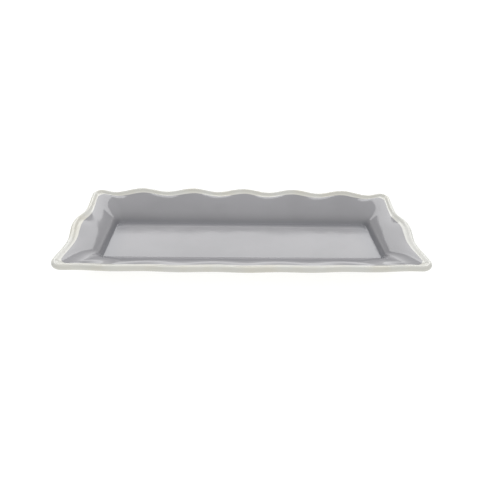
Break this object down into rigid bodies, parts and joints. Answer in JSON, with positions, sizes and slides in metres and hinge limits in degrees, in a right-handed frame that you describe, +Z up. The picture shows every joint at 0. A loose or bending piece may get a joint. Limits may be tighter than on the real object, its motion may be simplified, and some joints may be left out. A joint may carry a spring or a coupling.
{
  "type": "serving tray",
  "caption": "Long rectangular glazed serving tray with low flared walls, a scalloped rolled lip and a foot ring.",
  "frame": {"origin": "middle of the tray on the surface that it stands on", "axes": "+X along the tray's length, +Y along its width, +Z up out of the well"},
  "size_m": [0.3822, 0.163, 0.036],
  "materials": {
    "fired_clay": "fired, unglazed, hidden under the glaze",
    "bare_foot": "unglazed, dry and slightly rough",
    "grey_glaze": "glossy pale lavender-grey glaze",
    "cream_glaze": "glossy warm white glaze"
  },
  "bodies": {
    "root": {"tray_body": "fired_clay", "rolled_lip": "fired_clay", "foot_ring": "bare_foot", "inside_glaze": "grey_glaze", "lip_glaze": "cream_glaze", "outside_glaze": "cream_glaze", "base_glaze": "cream_glaze"}
  },
  "joints": []
}
